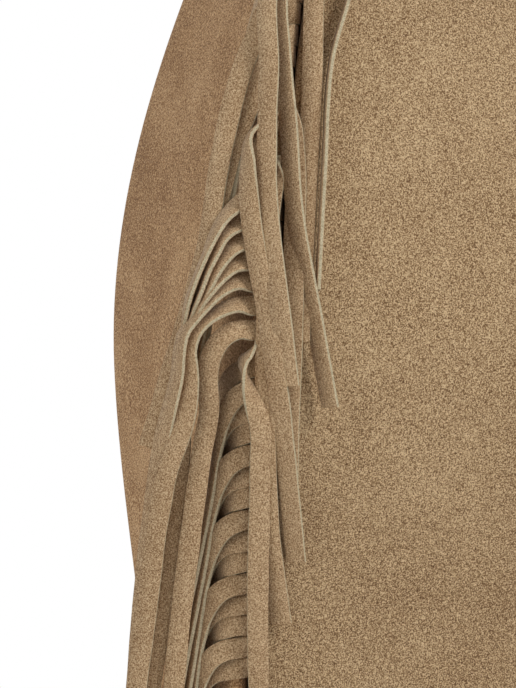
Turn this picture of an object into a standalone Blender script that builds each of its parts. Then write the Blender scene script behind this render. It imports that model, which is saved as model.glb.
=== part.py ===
"""A fringed suede shoulder bag.

The bag is a soft gusseted body: two panels and two side gussets, sewn right sides together with the
allowances turned inside, over a turned-up base with a stiff board in it. A fringe is caught in each
front seam. Inside are a cotton lining with a slip pocket, a suede facing round the mouth and a
magnetic snap. One wide strap is sewn to the gussets.

Metres, +Z up. The origin is the middle of the base's underside, and the front faces -Y.
"""

import math

import bmesh
import bpy
from mathutils import Matrix, Vector

# Body
BODY_HEIGHT = 0.360
BASE_HALF_WIDTH = 0.158
BELLY_HALF_WIDTH = 0.1613
MOUTH_HALF_WIDTH = 0.117
TAPER_START = 0.190
BASE_DEPTH = 0.054
BELLY_DEPTH = 0.095
MOUTH_DEPTH = 0.048
SWELL_START = 0.080
BELLY_HEIGHT = 0.206
PANEL_BULGE = 0.010
MOUTH_BULGE = 0.004
BASE_BULGE = 0.0
GUSSET_BULGE = 0.001

# Leather, cloth and board
SUEDE = 0.0014
FRINGE_SUEDE = 0.0011
LINING_CLOTH = 0.0008
BOARD = 0.0020
GAP = 0.0003
MM = 0.001

# Seams
SEAM_GAP = 0.0004
FOLD_RADIUS = 0.0015
SEAM_ALLOWANCE = 0.006
TRIMMED_ALLOWANCE = 0.001
ALLOWANCE_FROM = 0.020
TRIM_START = 0.070
TRIM_END = 0.055
ALLOWANCE_TO = BODY_HEIGHT - TRIM_START
TRIMMED_FROM = BODY_HEIGHT - TRIM_END

# Base
BASE_RIM = 0.010
BASE_CORNER = 0.013
FOOT_RADIUS = 0.002
BOARD_CLEARANCE = 0.0005
PANEL_EDGE = 0.0012

# Lining, pocket and facing
LINING_EASE = 0.0021
LINING_CORNER = 0.019
FACING_DEPTH = 0.0383
LINING_TOP = BODY_HEIGHT - FACING_DEPTH
FACING_GAP = 0.0005
FACING_CORNER = 0.013
FACING_DROP = 0.0005
POCKET_HALF_WIDTH = 0.070
POCKET_BOTTOM = 0.140
POCKET_TOP = 0.250
POCKET_GAP = 0.0005

# Magnetic snap
SNAP_DROP = 0.0135
SNAP_HEIGHT = BODY_HEIGHT - SNAP_DROP
SNAP_RADIUS = 0.009
SNAP_THICKNESS = 0.0022
SNAP_BOSS_RADIUS = 0.0032
SNAP_BOSS_HEIGHT = 0.0015
SNAP_SOCKET_RADIUS = 0.0037
SNAP_FLOOR = 0.0007

# Strap
STRAP_WIDTH = 0.030
STRAP_LAP = 0.027
STRAP_RISE = 0.190
STRAP_BOTTOM = BODY_HEIGHT - STRAP_LAP
STRAP_TOP = BODY_HEIGHT + STRAP_RISE
STRAP_LEAN = 0.030
STRAP_SHOULDER = 0.110
STRAP_CROWN = 0.070

# Fringe: strands cut from one strip of suede, whose uncut edge is caught in the seam
STRAND_COUNT = 39
STRAND_PITCH = 0.0055
STRAND_WIDTH = 0.0052
STRAND_LENGTH = 0.115
TOP_STRAND_DROP = 0.035
TOP_STRAND = BODY_HEIGHT - TOP_STRAND_DROP
EXIT_LENGTH = 0.004
TWIST_START = 0.003
FRONT_TWIST = 0.011
SIDE_TWIST = 0.021
LAST_TRIM = 0.002

# The fringe is arranged for the view from 27 degrees left of the front: "across" is to that view's
# right and "out" is towards it, both from the seam line. A strand's turn is how far round it is from
# square-on to that view, in degrees
VIEW_TURN = math.radians(27)
ACROSS = Vector((math.cos(VIEW_TURN), -math.sin(VIEW_TURN), 0))
OUT = Vector((-math.sin(VIEW_TURN), -math.cos(VIEW_TURN), 0))
SEAM_OUT = Vector((-1, -1, 0)).normalized()

# The lays below are for strands of this length, and stretch with STRAND_LENGTH
LAY_LENGTH = 0.115

# Strands that lie on the front panel: (drop, across, lift off the panel) in mm along each
FRONT_STRANDS = {
    0: [(8.5, 5.5, 4.8), (33.5, 12, 4.6), (56.5, 9.5, 4.6), (83.5, 10, 4.6), (113.5, 10, 4.6)],
    2: [(7.5, 0, 3), (30, 3.2, 3.1), (55, 5.5, 3.1), (77.5, 6, 3), (97, 6, 3), (115, 6, 3)],
    4: [
        (6.5, -8, 5.8), (19, -8.5, 7.4), (34, -6.2, 7.6), (51.5, -5, 7.6),
        (69, -3.5, 7.6), (91.5, 0.6, 7.4), (115, 4.8, 7),
    ],
    5: [
        (6, -5.5, 3.6), (13.5, -5.5, 4.4), (26, -3.2, 4.8), (46, 0.4, 4.9),
        (65, 3, 4.9), (91, 9, 4.9), (115, 14.5, 4.9),
    ],
    12: [
        (3, -0.5, 1.2), (6, 0.8, 2), (12.5, 2.2, 2.6), (35, 3.6, 3), (57.5, 4.2, 3.2),
        (80, 4.5, 3.2), (100, 6, 3), (115, 9, 3),
    ],
    13: [
        (1.5, -5, 3.4), (3.8, -9, 6), (10.8, -8.9, 7.4), (23.3, -7.6, 7.4), (34.5, -5.3, 6),
        (48.5, -2.2, 4.9), (65, 1, 4.8), (79.5, 3.6, 4.8), (110, 9.5, 4.8),
    ],
    15: [
        (12.2, -3, 3.2), (33.5, -2.5, 3.2), (53.5, -2, 2.4), (71, -0.8, 2.3), (91, 2, 2.3),
        (115, 7.4, 2.3),
    ],
    23: [
        (1, -4.6, 0.4), (4, -7.4, 2.6), (10.8, -6.2, 4.4), (19.5, -2.9, 4.2),
        (32, -1.8, 3.8), (64.5, 0.8, 3.4), (89.5, 3, 3.2), (115, 4.8, 3.2),
    ],
}
FRONT_TURN = {0: 95, 2: -10, 4: -25, 5: -25, 12: -15, 13: -25, 15: -10, 23: -10}

# Strands that swing out over the gusset, nearest the eye: (drop, across, out) in mm and turn
SIDE_STRANDS = {
    7: [
        (4.3, -8.3, 6.5, 10), (10.8, -10, 7.5, 10), (19, -12.3, 7.8, 10), (27.2, -13.9, 7.4, 12),
        (45.7, -16.3, 6.4, 18), (62.3, -17.8, 6, 22), (80.2, -21.6, 5.8, 22), (101.5, -27, 5.8, 18),
        (114, -29.9, 5.8, 15),
    ],
    9: [
        (4, -5.5, 4.8, 10), (10.2, -8.1, 5.6, 12), (19, -10.2, 5.5, 14), (26.8, -12.6, 5, 16),
        (37.8, -14.8, 4.3, 18), (51.3, -17.2, 4, 22), (69, -21.1, 3.8, 22), (90.5, -25, 3.8, 18),
        (109, -26.8, 3.8, 16),
    ],
    19: [
        (1.8, -7.9, 7.2, 45), (2.8, -11, 8.6, 50), (6, -14.2, 9.6, 58), (9.3, -16.7, 9.8, 66),
        (12.8, -19, 9.4, 72), (16.5, -20.6, 8.2, 68), (20.3, -21.7, 6.6, 60), (26.5, -22.4, 4.8, 48),
        (49, -22, 4, 26), (73, -21.9, 4, 24), (100.8, -23.8, 4, 24), (115, -25.2, 4, 24),
    ],
    20: [
        (1.5, -6.1, 6, 45), (1.5, -10.6, 8.6, 45), (4.3, -14.9, 9.9, 50), (7.8, -18.1, 10.4, 56),
        (11, -20.7, 10.6, 60), (14, -22.7, 10.6, 62), (17.5, -23.4, 10.4, 62), (24.3, -23.8, 10, 58),
        (31, -25, 9.4, 54), (38.5, -26.4, 8.4, 46), (46.3, -27.1, 7.2, 40), (58.5, -27.7, 6.2, 36),
        (83.8, -28.2, 6, 34), (115, -28.6, 6, 30),
    ],
    21: [
        (1.8, -5.7, 6, 40), (1.5, -10.2, 8.6, 42), (3.5, -14.5, 9.8, 46), (6, -17.9, 10.2, 50),
        (8.5, -20, 10.4, 50), (12, -21.2, 10.4, 44), (18.8, -20.7, 10.4, 34), (25.5, -20.8, 10.4, 24),
        (34.8, -22.5, 10.4, 16), (40.8, -24.3, 10.4, 12), (53, -25.8, 10.2, 10), (78.3, -26.7, 10, 10),
        (97.5, -27.8, 10, 12), (115, -28.6, 10, 14),
    ],
    22: [
        (2.3, -4.5, 5.5, 10), (2.3, -9.8, 8, 12), (4.3, -13.1, 8.8, 14), (7.5, -15.2, 8.6, 14),
        (11, -16.2, 8, 12), (15.5, -16.3, 7.6, 8), (20, -15.6, 7.2, 4), (33.8, -16.7, 7, 0),
        (52.3, -17.5, 7, 0), (79.8, -18.3, 7, 0), (115, -19.4, 7, 0),
    ],
}

# Strands that fan out and then gather, edge-on: (drop, across, out) in mm, then how far across of
# the gathering line they hang
FAN_STRANDS = {
    16: (
        [
            (1.6, -6, 5.8), (3.9, -10.2, 8), (5.8, -12.5, 9.2), (8.3, -14.6, 10), (11.5, -16.2, 10.4),
            (16.8, -18.2, 10.4), (22.8, -20.4, 9.8), (28.5, -22.1, 8.4), (33.3, -23, 6.6),
        ],
        -0.2,
    ),
    17: (
        [
            (1.2, -5.2, 5.6), (3.3, -9.5, 8), (4.8, -12.2, 9.2), (6.9, -14.3, 10), (11, -16, 10.4),
            (15.3, -17.6, 10.2), (20.8, -19.3, 9.2), (25.3, -20.9, 7.6),
        ],
        1,
    ),
    18: (
        [
            (0.9, -4.8, 5.4), (2.5, -9.2, 8), (3.8, -11.3, 9), (6.8, -13.8, 10), (10.3, -15.7, 10.2),
            (15.3, -17.6, 9.2), (19.3, -19.2, 8), (22.3, -20.2, 6.8),
        ],
        2.2,
    ),
}
FAN_TURN = (42, 80)
FAN_TURN_DROP = 20
GATHERED_OUT = -0.8

# The line on which those gather: (height, across) in mm
GATHERING = [(214, -20.4), (204, -22.4), (190, -24), (179, -24.7), (166, -25.2), (120, -26.4)]
GATHERING_STEP = 0.014

# The other strands hang in three rows: (drop, across, out) in mm and turn. The top ones keep closer
# to the gusset and fall further aside, behind the strands that swing out
ROWS = (
    [
        (0.4, -3.4, 4.4, 25), (1, -6.3, 4.8, 25), (2.7, -9.1, 4.4, 30), (5.9, -11.2, 3.2, 38),
        (9.5, -12.4, 1.8, 48), (14, -12.9, 0.9, 60), (20, -13.2, 0.6, 72),
    ],
    [
        (0.6, -4.5, 3.8, 35), (1.5, -8.2, 1.8, 38), (4, -11, -1.2, 48), (7.3, -12.3, -3.6, 62),
        (11, -12.8, -5.2, 74),
    ],
    [
        (0.3, -4.6, 4.4, 56), (1.3, -7.4, 2.6, 60), (3, -10.2, -2.8, 62), (5.5, -11.6, -7.6, 62),
        (8.5, -12.3, -11, 63), (12, -12.8, -11.5, 63),
    ],
)
ROW_STRAND = 28
ROW_FALL = 0.1
ROW_DEPTH = 11.5
ROW_LIFT_DROP = 8
TOP_ROWS_END = 15
TOP_REACH = 0.62
TOP_FALL = 0.136

# Where along a strand its cross-sections lie, closest together near the seam
STRAND_STATIONS = (0.02, 0.05, 0.09, 0.145, 0.24, 0.40, 0.66, 1.0)

ROW_SPACING = 0.045
PANEL_COLUMNS = 9
GUSSET_COLUMNS = 5
FOLD_STEPS = 2
CORNER_STEPS = 2
STRAP_STEPS = 12
SNAP_STEPS = 16
CURVE_STEPS = 10
MERGE_DISTANCE = 1e-6


def clear_scene():
    for obj in list(bpy.data.objects):
        bpy.data.objects.remove(obj, do_unlink=True)


def ease(value):
    """A half cosine from 0 to 1."""
    return (1 - math.cos(math.pi * min(max(value, 0), 1))) / 2


def half_width(z):
    if z < TAPER_START:
        return BASE_HALF_WIDTH + (BELLY_HALF_WIDTH - BASE_HALF_WIDTH) * ease(z / TAPER_START)
    rise = (z - TAPER_START) / (BODY_HEIGHT - TAPER_START)
    return BELLY_HALF_WIDTH - (BELLY_HALF_WIDTH - MOUTH_HALF_WIDTH) * rise**2


def half_depth(z):
    if z < BELLY_HEIGHT:
        swell = ease((z - SWELL_START) / (BELLY_HEIGHT - SWELL_START))
        return (BASE_DEPTH + (BELLY_DEPTH - BASE_DEPTH) * swell) / 2
    close = ease((z - BELLY_HEIGHT) / (BODY_HEIGHT - BELLY_HEIGHT))
    return (BELLY_DEPTH - (BELLY_DEPTH - MOUTH_DEPTH) * close) / 2


def towards_mouth(z):
    return ease((z - BELLY_HEIGHT) / (BODY_HEIGHT - BELLY_HEIGHT))


def panel_bulge(z):
    """The base's board keeps its sides straight."""
    low = BASE_BULGE + (PANEL_BULGE - BASE_BULGE) * ease(z / SWELL_START)
    return low + (MOUTH_BULGE - PANEL_BULGE) * towards_mouth(z)


def gusset_bulge(z):
    below = ease((z - SWELL_START) / (BELLY_HEIGHT - SWELL_START))
    return GUSSET_BULGE * below * (1 - towards_mouth(z))


def allowance(z):
    """How far the sewn edges reach in from the seam: trimmed at the base and under the facing."""
    full = SEAM_ALLOWANCE - TRIMMED_ALLOWANCE
    low = (z - BASE_RIM) / (ALLOWANCE_FROM - BASE_RIM)
    high = (TRIMMED_FROM - z) / (TRIMMED_FROM - ALLOWANCE_TO)
    return TRIMMED_ALLOWANCE + full * min(max(min(low, high), 0), 1)


def shared_heights(bottom, top):
    """Row heights that every shell shares, so that shells inside each other keep their gap."""
    keys = sorted(
        {
            PANEL_EDGE,
            BASE_RIM,
            ALLOWANCE_FROM,
            SWELL_START,
            POCKET_BOTTOM,
            TAPER_START,
            BELLY_HEIGHT,
            POCKET_TOP,
            ALLOWANCE_TO,
            TRIMMED_FROM,
            LINING_TOP,
            STRAP_BOTTOM,
            BODY_HEIGHT,
        }
    )
    heights = [keys[0]]
    for low, high in zip(keys, keys[1:]):
        steps = max(1, math.ceil((high - low) / ROW_SPACING))
        heights += [low + (high - low) * step / steps for step in range(1, steps + 1)]
    return [bottom] + [z for z in heights if bottom + GAP < z < top - GAP] + [top]


def flange_offset(front):
    """From the middle of a seam to the middle of each layer beside it."""
    if front:
        return FRINGE_SUEDE / 2 + SEAM_GAP + SUEDE / 2
    return (SEAM_GAP + SUEDE) / 2


def seam_inset(front):
    """From the faces' middle surfaces in to the seam line, along x and along y."""
    return (flange_offset(front) + FOLD_RADIUS) / math.sqrt(2) + FOLD_RADIUS


def fold_reach(front):
    """From the faces' middle surfaces in to where the fold starts."""
    return seam_inset(front) + (flange_offset(front) + FOLD_RADIUS) / math.sqrt(2)


def swelling(value, limit):
    return max(0, 1 - (value / limit) ** 2)


def fold_section(z, front):
    """The turned-in edge, from its inner end to where the face starts, as (along the face, across it)
    measured in from the corner of the two faces' middle surfaces."""
    offset = flange_offset(front)
    inset = seam_inset(front)
    root = Vector((-inset - offset / math.sqrt(2), -inset + offset / math.sqrt(2)))
    centre = Vector((-fold_reach(front), -FOLD_RADIUS))
    points = [root - Vector((1, 1)).normalized() * allowance(z)]
    for step in range(FOLD_STEPS + 1):
        angle = math.radians(-45 + 135 * step / FOLD_STEPS)
        points.append(centre + FOLD_RADIUS * Vector((math.cos(angle), math.sin(angle))))
    return points


def panel_section(z, front):
    """A panel's middle surface at one height, left to right."""
    corner = Vector((half_width(z), half_depth(z)))
    fold = [corner + point for point in fold_section(z, front)]
    flat = fold[-1].x
    points = [Vector((-point.x, point.y)) for point in fold[:-1]]
    for column in range(PANEL_COLUMNS):
        x = flat * (2 * column / (PANEL_COLUMNS - 1) - 1)
        points.append(Vector((x, corner.y + panel_bulge(z) * swelling(x, flat))))
    points += fold[-2::-1]
    side = -1 if front else 1
    return [Vector((point.x, point.y * side, z)) for point in points]


def gusset_section(z, side):
    """A gusset's middle surface at one height, front to back."""
    corner = Vector((half_width(z), half_depth(z)))
    ends = []
    for front in (True, False):
        fold = [corner + Vector((point.y, point.x)) for point in fold_section(z, front)]
        facing = -1 if front else 1
        ends.append([Vector((point.x, point.y * facing)) for point in fold])
    first = ends[0][-1].y
    last = ends[1][-1].y
    points = ends[0][:-1]
    for column in range(GUSSET_COLUMNS):
        along = column / (GUSSET_COLUMNS - 1)
        bulge = gusset_bulge(z) * swelling(2 * along - 1, 1)
        points.append(Vector((corner.x + bulge, first + (last - first) * along)))
    points += ends[1][-2::-1]
    return [Vector((point.x * side, point.y, z)) for point in points]


def ring_section(z, inset, corner, at=None):
    """A rounded loop inside the body, set in from the faces' middle surfaces. The shape is that of
    height z, and the loop lies at height at."""
    width = half_width(z) - inset
    depth = half_depth(z) - inset
    radius = min(corner, depth - GAP)
    flat_x = half_width(z) - fold_reach(True)
    flat_y = half_depth(z) - fold_reach(True)
    quarter = []
    for step in range(CORNER_STEPS + 1):
        angle = math.pi / 2 * step / CORNER_STEPS
        quarter.append(
            Vector((width - radius + radius * math.cos(angle), depth - radius + radius * math.sin(angle)))
        )
    sides = PANEL_COLUMNS // 2
    start = quarter[-1].x
    quarter += [Vector((start * (1 - step / sides), depth)) for step in range(1, sides)]
    loop = [Vector((width, 0))]
    loop += quarter + [Vector((0, depth))]
    loop += [Vector((-point.x, point.y)) for point in reversed(quarter)]
    loop += [Vector((-point.x, -point.y)) for point in loop]
    points = []
    for point in loop:
        out = 1 + panel_bulge(z) / depth * swelling(point.x, flat_x)
        wide = 1 + gusset_bulge(z) / width * swelling(point.y, flat_y)
        points.append(Vector((point.x * wide, point.y * out, z if at is None else at)))
    return points


def sheet_mesh(sections, closed=False, floor=False):
    """A bmesh surface through rows of points. A closed one joins its ends, and floor fills row 0."""
    rows = len(sections)
    if closed:
        sections = [section + section[:1] for section in sections]
    columns = len(sections[0])
    bm = bmesh.new()
    bmesh.ops.create_grid(bm, x_segments=columns - 1, y_segments=rows - 1, size=1)
    bottom = set()
    for vert in bm.verts:
        column = round((vert.co.x + 1) / 2 * (columns - 1))
        row = round((vert.co.y + 1) / 2 * (rows - 1))
        vert.co = sections[row][column]
        if row == 0:
            bottom.add(vert)
    rim = [edge for edge in bm.edges if set(edge.verts) <= bottom]
    if closed:
        bmesh.ops.remove_doubles(bm, verts=bm.verts, dist=MERGE_DISTANCE)
    if floor:
        bmesh.ops.contextual_create(bm, geom=[edge for edge in rim if edge.is_valid])
    return bm


def add_object(name, bm, material, collection):
    bmesh.ops.recalc_face_normals(bm, faces=bm.faces)
    mesh = bpy.data.meshes.new(name)
    bm.to_mesh(mesh)
    bm.free()
    obj = bpy.data.objects.new(name, mesh)
    mesh.materials.append(material)
    collection.objects.link(obj)
    return obj


def thicken(obj, thickness):
    """The surface is the middle of the sheet."""
    solidify = obj.modifiers.new("thickness", "SOLIDIFY")
    solidify.thickness = thickness
    solidify.offset = 0
    solidify.use_even_offset = True
    return obj


def to_linear(value):
    return value / 12.92 if value <= 0.04045 else ((value + 0.055) / 1.055) ** 2.4


def make_material(name, colour, roughness, metallic=0.0):
    material = bpy.data.materials.new(name)
    material.use_nodes = True
    shader = material.node_tree.nodes["Principled BSDF"]
    linear = [to_linear(int(colour[place : place + 2], 16) / 255) for place in (0, 2, 4)]
    shader.inputs["Base Color"].default_value = (*linear, 1)
    shader.inputs["Roughness"].default_value = roughness
    shader.inputs["Metallic"].default_value = metallic
    material.diffuse_color = (*linear, 1)
    return material


def make_panels(collection):
    heights = shared_heights(PANEL_EDGE, BODY_HEIGHT)
    for name, front in (("front_panel", True), ("back_panel", False)):
        bm = sheet_mesh([panel_section(z, front) for z in heights])
        material = make_material(name + "_suede", "a5865f", 0.95)
        thicken(add_object(name, bm, material, collection), SUEDE)


def make_gussets(collection):
    heights = shared_heights(PANEL_EDGE, BODY_HEIGHT)
    for name, side in (("gusset_left", -1), ("gusset_right", 1)):
        bm = sheet_mesh([gusset_section(z, side) for z in heights])
        material = make_material(name + "_suede", "9a7651", 0.95)
        thicken(add_object(name, bm, material, collection), SUEDE)


def make_base_panel(collection):
    """The base is turned up inside the panels and sewn to them."""
    inset = SUEDE + GAP
    sections = []
    for step in range(FOLD_STEPS + 1):
        angle = math.pi / 2 * step / FOLD_STEPS
        extra = FOOT_RADIUS * (1 - math.sin(angle))
        height = SUEDE / 2 + FOOT_RADIUS * (1 - math.cos(angle))
        sections.append(ring_section(PANEL_EDGE, inset + extra, BASE_CORNER - extra, height))
    sections.append(ring_section(BASE_RIM, inset, BASE_CORNER))
    bm = sheet_mesh(sections, closed=True, floor=True)
    thicken(add_object("base_panel", bm, make_material("base_suede", "94714e", 0.95), collection), SUEDE)


def make_base_board(collection):
    """A stiff board lies on the base, under the lining."""
    inset = SUEDE + GAP + FOOT_RADIUS + BOARD_CLEARANCE
    middle = SUEDE + GAP + BOARD / 2
    bm = bmesh.new()
    corners = ring_section(PANEL_EDGE, inset, BASE_CORNER - FOOT_RADIUS, middle)
    bm.faces.new([bm.verts.new(corner) for corner in corners])
    thicken(add_object("base_board", bm, make_material("grey_board", "8b8478", 0.9), collection), BOARD)


def lining_inset(z):
    """The lining hangs a little inside the panels, and comes out to the facing's line at its top."""
    loose = SUEDE / 2 + LINING_EASE + LINING_CLOTH / 2
    near = ease((z - ALLOWANCE_TO) / (LINING_TOP - ALLOWANCE_TO))
    return loose + (SUEDE + GAP - loose) * near


def make_lining(collection):
    bottom = SUEDE + GAP + BOARD + GAP + LINING_CLOTH / 2
    heights = shared_heights(bottom, LINING_TOP)
    sections = [ring_section(z, lining_inset(z), LINING_CORNER) for z in heights]
    bm = sheet_mesh(sections, closed=True, floor=True)
    material = make_material("lining_cotton", "6f5a45", 0.9)
    thicken(add_object("lining", bm, material, collection), LINING_CLOTH)


def make_slip_pocket(collection):
    """An open-topped patch on the lining's back wall."""
    sections = []
    for z in shared_heights(POCKET_BOTTOM, POCKET_TOP):
        inset = lining_inset(z) + LINING_CLOTH + POCKET_GAP
        flat = half_width(z) - fold_reach(True)
        row = []
        for column in range(GUSSET_COLUMNS):
            x = POCKET_HALF_WIDTH * (2 * column / (GUSSET_COLUMNS - 1) - 1)
            row.append(Vector((x, half_depth(z) - inset + panel_bulge(z) * swelling(x, flat), z)))
        sections.append(row)
    bm = sheet_mesh(sections)
    material = make_material("pocket_cotton", "76614b", 0.9)
    thicken(add_object("slip_pocket", bm, material, collection), LINING_CLOTH)


def make_top_facing(collection):
    """A suede band inside the mouth."""
    inset = SUEDE + GAP
    heights = shared_heights(LINING_TOP + FACING_GAP, BODY_HEIGHT - FACING_DROP)
    sections = [ring_section(z, inset, FACING_CORNER) for z in heights]
    bm = sheet_mesh(sections, closed=True)
    thicken(add_object("top_facing", bm, make_material("facing_suede", "9a7651", 0.95), collection), SUEDE)


def facing_surface(z, depth):
    """A point on the facing at the middle of the front, this far in from its middle surface, and the
    direction in."""
    def middle(height):
        return half_depth(height) - SUEDE - GAP + panel_bulge(height)

    slope = (middle(BODY_HEIGHT) - middle(STRAP_BOTTOM)) / (BODY_HEIGHT - STRAP_BOTTOM)
    inward = Vector((0, 1, slope)).normalized()
    share = (z - STRAP_BOTTOM) / (BODY_HEIGHT - STRAP_BOTTOM)
    level = middle(STRAP_BOTTOM) + (middle(BODY_HEIGHT) - middle(STRAP_BOTTOM)) * share
    return Vector((0, -level, z)) + inward * depth, inward


def make_snap(collection):
    """Two discs of a magnetic snap, one on each side of the mouth."""
    stud = [
        (0, SNAP_THICKNESS + SNAP_BOSS_HEIGHT),
        (SNAP_BOSS_RADIUS, SNAP_THICKNESS + SNAP_BOSS_HEIGHT),
        (SNAP_BOSS_RADIUS, SNAP_THICKNESS),
    ]
    socket = [
        (0, SNAP_FLOOR),
        (SNAP_SOCKET_RADIUS, SNAP_FLOOR),
        (SNAP_SOCKET_RADIUS, SNAP_THICKNESS),
    ]
    rim = [(SNAP_RADIUS, SNAP_THICKNESS), (SNAP_RADIUS, 0), (0, 0)]
    start, inward = facing_surface(SNAP_HEIGHT, SUEDE / 2 + GAP)
    for name, inner, side in (("snap_stud", stud, 1), ("snap_socket", socket, -1)):
        bm = bmesh.new()
        verts = [bm.verts.new((radius, 0, height)) for radius, height in inner + rim]
        for first, second in zip(verts, verts[1:]):
            bm.edges.new((first, second))
        obj = add_object(name, bm, make_material(name + "_nickel", "c9c5bb", 0.3, 1.0), collection)
        screw = obj.modifiers.new("turned", "SCREW")
        screw.axis = "Z"
        screw.steps = SNAP_STEPS
        screw.render_steps = SNAP_STEPS
        screw.use_merge_vertices = True
        screw.merge_threshold = MERGE_DISTANCE
        direction = Vector((0, inward.y * side, inward.z))
        turn = direction.to_track_quat("Z", "Y").to_matrix().to_4x4()
        obj.matrix_world = Matrix.Translation(Vector((0, start.y * side, start.z))) @ turn


def bezier(points, share):
    first, second, third, last = points
    rest = 1 - share
    return (
        first * rest**3
        + second * 3 * rest**2 * share
        + third * 3 * rest * share**2
        + last * share**3
    )


def strap_path():
    """The left half of the strap's middle line, from its sewn end up to the crown."""
    offset = SUEDE / 2 + GAP + SUEDE
    points = []
    for z in shared_heights(STRAP_BOTTOM, BODY_HEIGHT):
        step = GAP
        slope = (half_width(z + step) - half_width(z - step)) / (2 * step)
        outward = Vector((1, 0, -slope)).normalized()
        points.append(Vector((-half_width(z) - outward.x * offset, 0, z + outward.z * offset)))
    rise = (points[-1] - points[-2]).normalized()
    crown = Vector((0, 0, STRAP_TOP))
    handles = (points[-1], points[-1] + rise * STRAP_SHOULDER, crown - Vector((STRAP_CROWN, 0, 0)), crown)
    points += [bezier(handles, step / STRAP_STEPS) for step in range(1, STRAP_STEPS + 1)]
    for point in points:
        point.y = STRAP_LEAN * ease((point.z - BODY_HEIGHT) / (STRAP_TOP - BODY_HEIGHT))
    return points


def make_strap(collection):
    """Two layers of suede, sewn outside each gusset."""
    left = strap_path()
    path = left + [Vector((-point.x, point.y, point.z)) for point in reversed(left[:-1])]
    sections = []
    for place, point in enumerate(path):
        before = path[max(place - 1, 0)]
        after = path[min(place + 1, len(path) - 1)]
        along = (after - before).normalized()
        across = Vector((0, 1, 0)) - along * along.y
        across = across.normalized() * STRAP_WIDTH / 2
        sections.append([point - across, point + across])
    bm = sheet_mesh(sections)
    thicken(add_object("strap", bm, make_material("strap_suede", "9f7f5a", 0.95), collection), 2 * SUEDE)


def seam_point(z):
    """The front left seam line."""
    inset = seam_inset(True)
    return Vector((-half_width(z) + inset, -half_depth(z) + inset, z))


def off_panel(z, across, lift):
    """How far out a point lies that is this far across and this far off the front panel."""
    start = seam_point(z)
    x = start.x + across * ACROSS.x
    flat = half_width(z) - fold_reach(True)
    rise = panel_bulge(z) * swelling(x, flat)
    return (seam_inset(True) + SUEDE / 2 + rise + max(across, 0) * ACROSS.y) / -OUT.y + lift


def strand_height(index):
    return TOP_STRAND - STRAND_PITCH * index


def gathering_across(z):
    """How far across the gathering line lies at this height, in mm."""
    height = z / MM
    for (high, before), (low, after) in zip(GATHERING, GATHERING[1:]):
        if height >= low:
            break
    share = min(max((high - height) / (high - low), 0), 1)
    return before + (after - before) * share


def fan_lay(index):
    """A strand fans out, then falls along the gathering line to its tip."""
    points, aside = FAN_STRANDS[index]
    first, last = FAN_TURN
    lay = [(*point, first + (last - first) * ease(point[0] / FAN_TURN_DROP)) for point in points]
    drop = points[-1][0] * MM + GATHERING_STEP
    while drop < STRAND_LENGTH + GATHERING_STEP:
        drop = min(drop, STRAND_LENGTH)
        across = gathering_across(strand_height(index) - drop) + aside
        lay.append((drop / MM, across, GATHERED_OUT, last))
        drop += GATHERING_STEP
    return lay


def row_lay(index):
    """A strand of the rows arches out over the gusset, then hangs to its tip."""
    top = index < TOP_ROWS_END
    reach = TOP_REACH + (1 - TOP_REACH) * index / TOP_ROWS_END if top else 1
    fall = TOP_FALL if top else ROW_FALL
    row = ROWS[(index - ROW_STRAND) % len(ROWS)]
    lift = ROW_DEPTH * 2 * (1 - reach)
    lay = [
        (drop, across * reach, out + lift * ease(drop / ROW_LIFT_DROP), turn)
        for drop, across, out, turn in row
    ]
    drop, across, out, turn = lay[-1]
    trim = LAST_TRIM if index == STRAND_COUNT - 1 else 0
    tip = (STRAND_LENGTH - trim) / MM
    for low in ((drop + tip) / 2, tip):
        lay.append((low, across - fall * (low - drop), out, turn))
    return lay


def side_lay(index):
    """(drop, across, out, turn) along a strand that isn't on the front panel, in mm and degrees."""
    if index in SIDE_STRANDS:
        stretch = STRAND_LENGTH / LAY_LENGTH
        return [(drop * stretch, across, out, turn) for drop, across, out, turn in SIDE_STRANDS[index]]
    if index in FAN_STRANDS:
        return fan_lay(index)
    return row_lay(index)


def strand_waypoints(index):
    """The points that a strand runs through and its turn at each."""
    root = strand_height(index)
    points = [seam_point(root), seam_point(root) + SEAM_OUT * EXIT_LENGTH]
    if index in FRONT_STRANDS:
        for drop, across, lift in FRONT_STRANDS[index]:
            z = root - drop * MM * STRAND_LENGTH / LAY_LENGTH
            out = off_panel(z, across * MM, lift * MM)
            points.append(seam_point(z) + ACROSS * across * MM + OUT * out)
        return points, [FRONT_TURN[index]] * len(points)
    lay = side_lay(index)
    for drop, across, out, _ in lay:
        points.append(seam_point(root - drop * MM) + (ACROSS * across + OUT * out) * MM)
    turns = [turn for _, _, _, turn in lay]
    return points, turns[:1] * 2 + turns


def smooth_path(points):
    """A curve through the points, as a fine polyline."""
    spans = [(after - before).length for before, after in zip(points, points[1:])]
    slopes = [(after - before) / span for before, after, span in zip(points, points[1:], spans)]
    ends = [slopes[0]]
    for place in range(1, len(points) - 1):
        before, after = spans[place - 1], spans[place]
        ends.append((slopes[place - 1] * after + slopes[place] * before) / (before + after))
    ends.append(slopes[-1])
    path = [points[0]]
    for place, span in enumerate(spans):
        for step in range(1, CURVE_STEPS + 1):
            t = step / CURVE_STEPS
            path.append(
                points[place] * (2 * t**3 - 3 * t**2 + 1)
                + ends[place] * (t**3 - 2 * t**2 + t) * span
                + points[place + 1] * (3 * t**2 - 2 * t**3)
                + ends[place + 1] * (t**3 - t**2) * span
            )
    return path


def along_path(path, distance):
    """The point this far along, and the direction there. Past the end the path goes straight on."""
    for before, after in zip(path, path[1:]):
        span = (after - before).length
        if distance <= span:
            break
        distance -= span
    else:
        distance += span
    return before + (after - before) * distance / span, (after - before).normalized()


def path_length(path):
    return sum((after - before).length for before, after in zip(path, path[1:]))


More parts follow.
